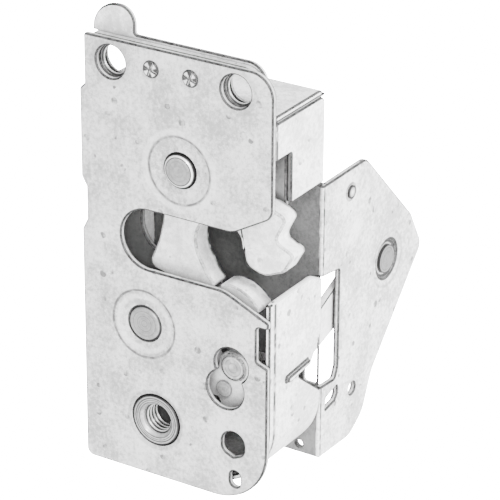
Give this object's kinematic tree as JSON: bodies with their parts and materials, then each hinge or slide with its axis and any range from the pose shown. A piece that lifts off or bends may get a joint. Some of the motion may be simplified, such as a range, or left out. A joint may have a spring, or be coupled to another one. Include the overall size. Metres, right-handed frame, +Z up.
{
  "type": "car door lock",
  "caption": "Rotary car door lock: steel case, face plate with side slot, claw fork, sprung detent and release lever on a side bracket.",
  "frame": {"origin": "centre of the lower threaded mounting hole, on the front face of the face plate", "axes": "+X across the face plate towards the mouth of the striker slot, +Y back into the door, +Z up along the face plate"},
  "size_m": [0.0565, 0.0751, 0.1191],
  "materials": {
    "plated_sheet": "bright zinc plating, satin",
    "plated_blank": "bright zinc plating on thick stampings",
    "turned_steel": "turned and riveted",
    "bush_bronze": "sintered bronze",
    "spring_wire": "drawn wire",
    "clip_plastic": "moulded, matt"
  },
  "bodies": {
    "lock_case": {"face_plate": "plated_sheet", "nut_plate": "plated_sheet", "case": "plated_sheet", "side_bracket": "plated_sheet", "bearing_plate": "plated_sheet", "threaded_bush": "turned_steel", "plate_rivets": "turned_steel", "fork_pivot": "turned_steel", "detent_pivot": "turned_steel", "release_pivot": "turned_steel", "release_washer": "turned_steel", "lock_pivot": "turned_steel", "fork_spring": "spring_wire", "detent_spring": "spring_wire"},
    "fork": {"fork_bolt": "plated_blank", "fork_bush": "bush_bronze"},
    "detent": {"detent_lever": "plated_blank", "detent_bush": "bush_bronze", "detent_peg": "turned_steel"},
    "release": {"release_lever": "plated_blank", "release_rod_clip": "clip_plastic"},
    "lock": {"lock_lever": "plated_blank", "lock_rod_clip": "clip_plastic"}
  },
  "joints": [
    {"name": "fork_turn", "type": "hinge", "parent": "lock_case", "child": "fork", "pos_m": [0.0073, 0, 0.0677], "axis": [0, -1, 0], "range_deg": [0, 28], "deforming": ["fork_spring"]},
    {"name": "detent_turn", "type": "hinge", "parent": "lock_case", "child": "detent", "pos_m": [-0.0031, 0, 0.0253], "axis": [0, 1, 0], "range_deg": [0, 18.2], "stiffness_Nm_per_rad": 0.05, "deforming": ["detent_spring"]},
    {"name": "release_turn", "type": "hinge", "parent": "lock_case", "child": "release", "pos_m": [0.0284, 0.0574, 0.0287], "axis": [1, 0, 0], "range_deg": [0, 7.56], "stiffness_Nm_per_rad": 0.05},
    {"name": "lock_turn", "type": "hinge", "parent": "lock_case", "child": "lock", "pos_m": [0.0284, 0.0383, 0.0541], "axis": [1, 0, 0], "range_deg": [0, 20]}
  ],
  "couplings": [
    {"joint": "detent_turn", "follows": "fork_turn", "ratio": 0.65},
    {"joint": "release_turn", "follows": "fork_turn", "ratio": 0.27}
  ]
}
